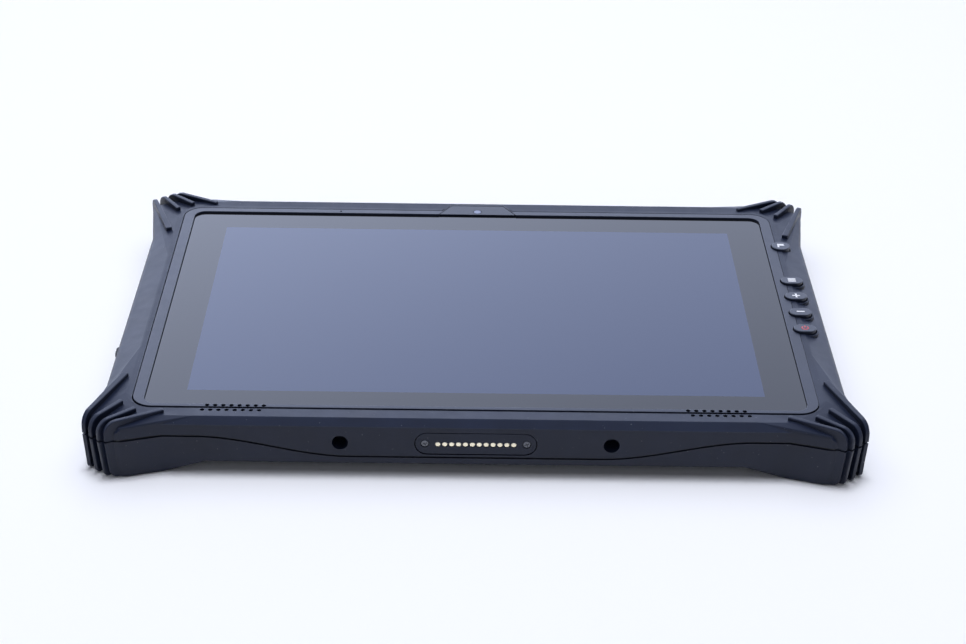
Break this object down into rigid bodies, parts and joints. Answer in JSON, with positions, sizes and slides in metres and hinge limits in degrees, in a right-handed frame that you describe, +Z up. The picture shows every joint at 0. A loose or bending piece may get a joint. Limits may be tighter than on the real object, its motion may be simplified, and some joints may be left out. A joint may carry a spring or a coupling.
{
  "type": "data collector",
  "caption": "Rugged tablet data collector: rimmed screen, finned corner bumpers, oval side keys, a docking contact plate and a hinged port cover.",
  "frame": {"origin": "centre of the footprint, at the level of the four feet", "axes": "+X along the long side to the user's right, +Y away from the user, +Z up out of the screen"},
  "size_m": [0.2894, 0.196, 0.0242],
  "materials": {
    "housing": "fine moulded texture",
    "rim": "satin",
    "glass": "clear",
    "panel": "dark display behind glass",
    "key": "matt",
    "rubber": "matt",
    "gold": "gold plated",
    "black_steel": "black oxide",
    "steel": "plain",
    "aluminium": "as cast",
    "copper": "bare copper",
    "brass": "bare",
    "board": "solder mask",
    "battery": "wrapped"
  },
  "bodies": {
    "tablet": {"front_shell": "housing", "rear_shell": "housing", "dock_plate": "housing", "battery_cover": "housing", "display_rim": "rim", "cover_glass": "glass", "camera_window": "glass", "front_camera_lens": "glass", "rear_camera_window": "glass", "lcd_panel": "panel", "glass_gasket": "rubber", "housing_seal": "rubber", "port_cover_anchor": "rubber", "dock_contacts": "gold", "dock_screw_left": "black_steel", "dock_screw_right": "black_steel", "battery_cover_screw_1": "black_steel", "battery_cover_screw_2": "black_steel", "battery_cover_screw_3": "black_steel", "battery_cover_screw_4": "black_steel", "housing_screw_1": "black_steel", "housing_screw_2": "black_steel", "housing_screw_3": "black_steel", "housing_screw_4": "black_steel", "housing_screw_5": "black_steel", "housing_screw_6": "black_steel", "housing_screw_7": "black_steel", "housing_screw_8": "black_steel", "front_camera_module": "black_steel", "rear_camera_module": "black_steel", "speaker_left": "black_steel", "speaker_right": "black_steel", "function_switch": "steel", "menu_switch": "steel", "volume_up_switch": "steel", "volume_down_switch": "steel", "power_switch": "steel", "microphone": "steel", "usb_a_socket": "steel", "usb_c_socket": "steel", "power_jack": "steel", "shield_can": "steel", "chassis_plate": "aluminium", "heat_spreader": "copper", "bracket_insert_1": "brass", "bracket_insert_2": "brass", "bracket_insert_3": "brass", "bracket_insert_4": "brass", "key_board": "board", "port_board": "board", "main_board": "board", "storage_card": "board", "battery_pack": "battery"},
    "function_key": {"function_key": "key"},
    "menu_key": {"menu_key": "key"},
    "volume_up_key": {"volume_up_key": "key"},
    "volume_down_key": {"volume_down_key": "key"},
    "power_key": {"power_key": "key"},
    "port_cover": {"port_cover": "rubber"}
  },
  "joints": [
    {"name": "function_key_press", "type": "slide", "parent": "tablet", "child": "function_key", "axis": [0, 0, -1], "range_m": [0, 0.0007], "stiffness_N_per_m": 1500},
    {"name": "menu_key_press", "type": "slide", "parent": "tablet", "child": "menu_key", "axis": [0, 0, -1], "range_m": [0, 0.0007], "stiffness_N_per_m": 1500},
    {"name": "volume_up_key_press", "type": "slide", "parent": "tablet", "child": "volume_up_key", "axis": [0, 0, -1], "range_m": [0, 0.0007], "stiffness_N_per_m": 1500},
    {"name": "volume_down_key_press", "type": "slide", "parent": "tablet", "child": "volume_down_key", "axis": [0, 0, -1], "range_m": [0, 0.0007], "stiffness_N_per_m": 1500},
    {"name": "power_key_press", "type": "slide", "parent": "tablet", "child": "power_key", "axis": [0, 0, -1], "range_m": [0, 0.0007], "stiffness_N_per_m": 1500},
    {"name": "port_cover_hinge", "type": "hinge", "parent": "tablet", "child": "port_cover", "pos_m": [-0.14083, 0.02615, 0.0111], "axis": [0, 0, -1], "range_deg": [0, 120]}
  ]
}
